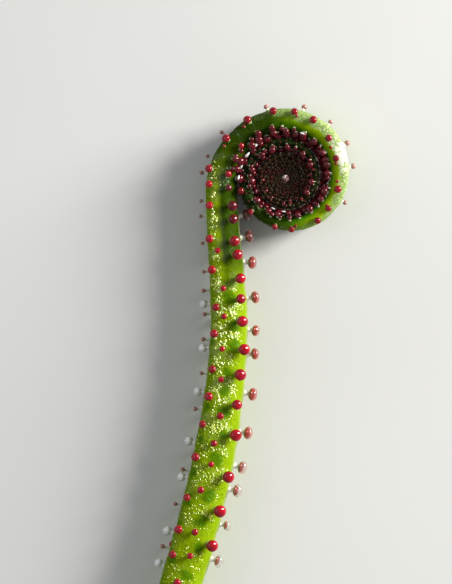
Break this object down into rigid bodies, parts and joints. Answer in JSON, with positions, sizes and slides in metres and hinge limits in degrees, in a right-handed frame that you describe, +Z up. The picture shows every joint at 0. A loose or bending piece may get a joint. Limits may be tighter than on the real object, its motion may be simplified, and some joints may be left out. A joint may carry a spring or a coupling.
{
  "type": "dewy pine leaf",
  "caption": "Young carnivorous leaf with a coiled tip, lying on its side: a tapering grooved blade carrying rows of stalked sticky gland heads.",
  "frame": {"origin": "on the surface under the leaf, at the middle of its box in X and Y", "axes": "+Y from the cut end towards the coiled tip, +X towards the side the leaf coils to, +Z up from the surface, across the plane of the coil"},
  "size_m": [0.0141, 0.0362, 0.0043],
  "materials": {
    "leaf": "fresh moist leaf: soft sheen, yellow-green, with crimson gland heads"
  },
  "bodies": {
    "root": {"leaf": "leaf"}
  },
  "joints": []
}
